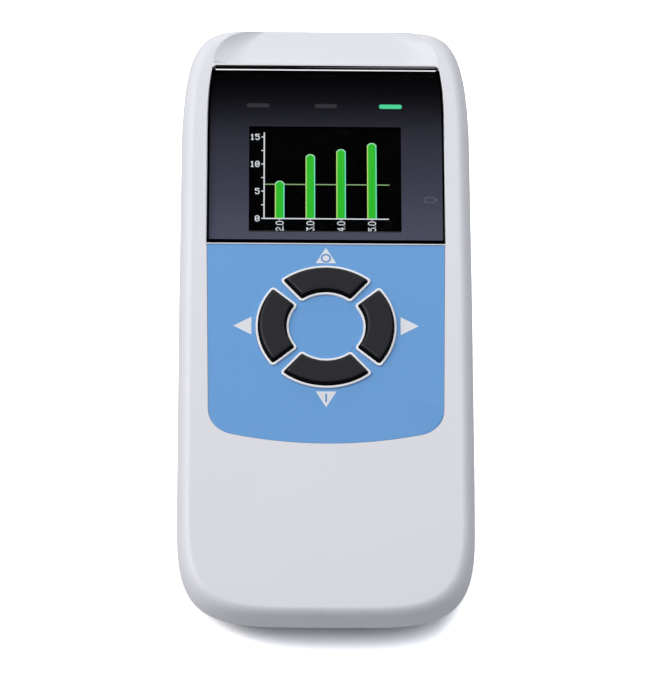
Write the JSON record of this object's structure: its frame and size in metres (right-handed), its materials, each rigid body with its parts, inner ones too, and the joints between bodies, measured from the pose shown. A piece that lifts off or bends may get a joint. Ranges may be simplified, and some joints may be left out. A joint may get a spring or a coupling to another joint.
{
  "type": "audiometer",
  "caption": "Handheld audiometer: two-shell white casing, smoked display window, ring keypad of sprung rubber keys, round probe socket and rectangular dock socket.",
  "frame": {"origin": "middle of the casing's outline, on the plane of its flat rear face", "axes": "+X to the right of the display, +Y along the casing towards the probe socket, +Z out through the front face"},
  "size_m": [0.065, 0.1516, 0.0315],
  "materials": {
    "white_shell": "fine spark-textured ABS",
    "smoked_window": "polished smoked acrylic, printed behind",
    "blue_label": "velvet polycarbonate film",
    "black_key_rubber": "satin moulded rubber",
    "carbon_pill": "matt carbon-loaded silicone",
    "grey_silicone": "matt moulded silicone",
    "display_glass": "polished display glass",
    "black_foam": "closed-cell foam",
    "black_plastic": "moulded nylon",
    "flex_film": "polyimide film",
    "ivory_connector": "moulded connector plastic",
    "clear_light_guide": "clear moulded acrylic",
    "led_package": "white ceramic with phosphor",
    "green_board": "solder resist on glass-epoxy",
    "gold_contact": "gold plating",
    "black_chip": "moulded epoxy",
    "tinned_steel": "tin-plated sheet",
    "nickel_brass": "nickel-plated turned brass",
    "battery_wrap": "foil pouch",
    "lead_insulation": "wire insulation",
    "grey_ribbon": "ribbon insulation",
    "zinc_screw": "zinc plating"
  },
  "bodies": {
    "casing": {"front_housing": "white_shell", "rear_housing": "white_shell", "display_window": "smoked_window", "keypad_label": "blue_label", "key_skirt_up": "grey_silicone", "key_skirt_down": "grey_silicone", "key_skirt_left": "grey_silicone", "key_skirt_right": "grey_silicone", "keypad_mat": "grey_silicone", "display_panel": "display_glass", "display_gasket": "black_foam", "display_carrier": "black_plastic", "display_flex": "flex_film", "display_connector": "ivory_connector", "light_guide_left": "clear_light_guide", "light_guide_middle": "clear_light_guide", "light_guide_right": "clear_light_guide", "light_guide_charge": "clear_light_guide", "status_leds": "led_package", "main_board": "green_board", "contact_pads": "gold_contact", "circuit_chips": "black_chip", "shield_can": "tinned_steel", "battery_pack": "battery_wrap", "battery_lead": "lead_insulation", "battery_connector": "ivory_connector", "battery_cover": "white_shell", "battery_cover_screw": "zinc_screw", "probe_socket_shell": "nickel_brass", "probe_socket_insert": "black_plastic", "probe_socket_contacts": "gold_contact", "probe_socket_nut": "nickel_brass", "probe_ribbon": "grey_ribbon", "probe_connector": "ivory_connector", "dock_socket_shell": "tinned_steel", "dock_socket_insert": "black_plastic", "dock_socket_contacts": "gold_contact", "housing_screws": "zinc_screw", "board_screws": "zinc_screw"},
    "key_up_body": {"key_up": "black_key_rubber", "contact_pill_up": "carbon_pill"},
    "key_down_body": {"key_down": "black_key_rubber", "contact_pill_down": "carbon_pill"},
    "key_left_body": {"key_left": "black_key_rubber", "contact_pill_left": "carbon_pill"},
    "key_right_body": {"key_right": "black_key_rubber", "contact_pill_right": "carbon_pill"}
  },
  "joints": [
    {"name": "key_up_press", "type": "slide", "parent": "casing", "child": "key_up_body", "axis": [0, 0, -1], "range_m": [0, 0.0009], "stiffness_N_per_m": 1200, "deforming": ["key_skirt_up"]},
    {"name": "key_down_press", "type": "slide", "parent": "casing", "child": "key_down_body", "axis": [0, 0, -1], "range_m": [0, 0.0009], "stiffness_N_per_m": 1200, "deforming": ["key_skirt_down"]},
    {"name": "key_left_press", "type": "slide", "parent": "casing", "child": "key_left_body", "axis": [0, 0, -1], "range_m": [0, 0.0009], "stiffness_N_per_m": 1200, "deforming": ["key_skirt_left"]},
    {"name": "key_right_press", "type": "slide", "parent": "casing", "child": "key_right_body", "axis": [0, 0, -1], "range_m": [0, 0.0009], "stiffness_N_per_m": 1200, "deforming": ["key_skirt_right"]}
  ]
}
